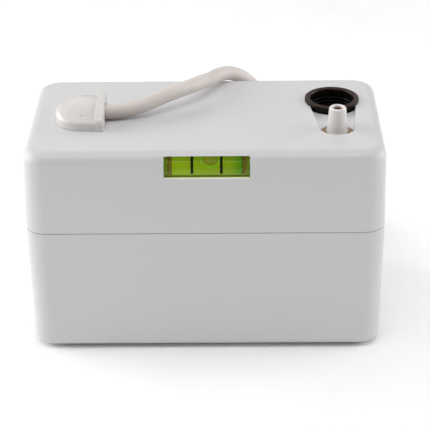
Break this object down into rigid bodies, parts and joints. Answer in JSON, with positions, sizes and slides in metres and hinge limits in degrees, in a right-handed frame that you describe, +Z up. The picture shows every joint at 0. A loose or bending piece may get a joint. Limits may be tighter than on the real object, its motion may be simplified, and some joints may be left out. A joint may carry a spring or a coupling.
{
  "type": "condensate pump",
  "caption": "Small tank pump: a white rectangular tank with a lift-off pump head that carries a rubber drain inlet, an outlet spigot, a spirit level and a mains lead.",
  "frame": {"origin": "middle of the footprint, on the surface the rubber feet stand on", "axes": "+X along the 152 mm width towards the inlet side, +Z up, the spirit level at the front, -Y"},
  "size_m": [0.152, 0.1834, 0.1054],
  "materials": {
    "shell_white": "glossy white moulded plastic with a faint grain",
    "inner_ivory": "satin ivory moulded plastic",
    "cord_white": "soft off-white PVC, slightly warm",
    "sleeve_rubber": "black rubber, glossy on the rim",
    "foot_rubber": "matt grey rubber",
    "grommet_tan": "tan silicone",
    "steel": "zinc plated or plain steel",
    "copper": "enamelled copper wire",
    "black_plastic": "black plastic or bonded ferrite",
    "blue_plastic": "blue plastic",
    "board_green": "solder-masked board",
    "acrylic": "clear acrylic, tinted by the fluid",
    "vial_fluid": "yellow-green level fluid"
  },
  "bodies": {
    "tank": {"reservoir": "shell_white", "foot_1": "foot_rubber", "foot_2": "foot_rubber", "foot_3": "foot_rubber", "foot_4": "foot_rubber", "tank_seal": "foot_rubber", "cord_coil": "cord_white", "cord_tail": "cord_white", "plug_boot": "cord_white", "plug_body": "cord_white", "plug_pin_1": "steel", "plug_pin_2": "steel"},
    "head": {"top_cover": "shell_white", "outlet_spigot": "shell_white", "level_cradle": "shell_white", "chassis_plate": "inner_ivory", "inlet_duct": "inner_ivory", "shaft_column": "inner_ivory", "volute": "inner_ivory", "strainer": "inner_ivory", "valve_body": "inner_ivory", "terminal_block": "inner_ivory", "cord_hood": "cord_white", "cord_lead": "cord_white", "cord_stub": "cord_white", "inlet_sleeve": "sleeve_rubber", "outlet_grommet": "grommet_tan", "chassis_screw_1": "steel", "chassis_screw_2": "steel", "chassis_screw_3": "steel", "chassis_screw_4": "steel", "clamp_screw_1": "steel", "clamp_screw_2": "steel", "motor_can": "steel", "motor_lid": "steel", "motor_stator": "steel", "float_clip": "steel", "motor_winding": "copper", "cord_clamp": "black_plastic", "inlet_filter": "black_plastic", "float_stem": "black_plastic", "relay": "black_plastic", "capacitor": "black_plastic", "vial_mark_left": "black_plastic", "vial_mark_right": "black_plastic", "transformer": "blue_plastic", "circuit_board": "board_green", "level_vial": "acrylic", "vial_end_left": "acrylic", "vial_end_right": "acrylic", "delivery_hose": "acrylic", "vial_fluid": "vial_fluid"},
    "rotor": {"motor_rotor": "black_plastic", "motor_shaft": "steel", "impeller": "blue_plastic"},
    "float": {"float_drum": "blue_plastic", "float_magnet": "black_plastic"},
    "valve_ball": {"check_ball": "steel"}
  },
  "joints": [
    {"name": "head_lift", "type": "slide", "parent": "tank", "child": "head", "axis": [0, 0, 1], "range_m": [0, 0.07]},
    {"name": "impeller_spin", "type": "hinge", "parent": "head", "child": "rotor", "pos_m": [-0.022, 0.003, 0.015], "axis": [0, 0, 1], "continuous": true},
    {"name": "float_rise", "type": "slide", "parent": "head", "child": "float", "axis": [0, 0, 1], "range_m": [0, 0.022]},
    {"name": "valve_open", "type": "slide", "parent": "head", "child": "valve_ball", "axis": [0, 0, 1], "range_m": [0, 0.003]}
  ]
}
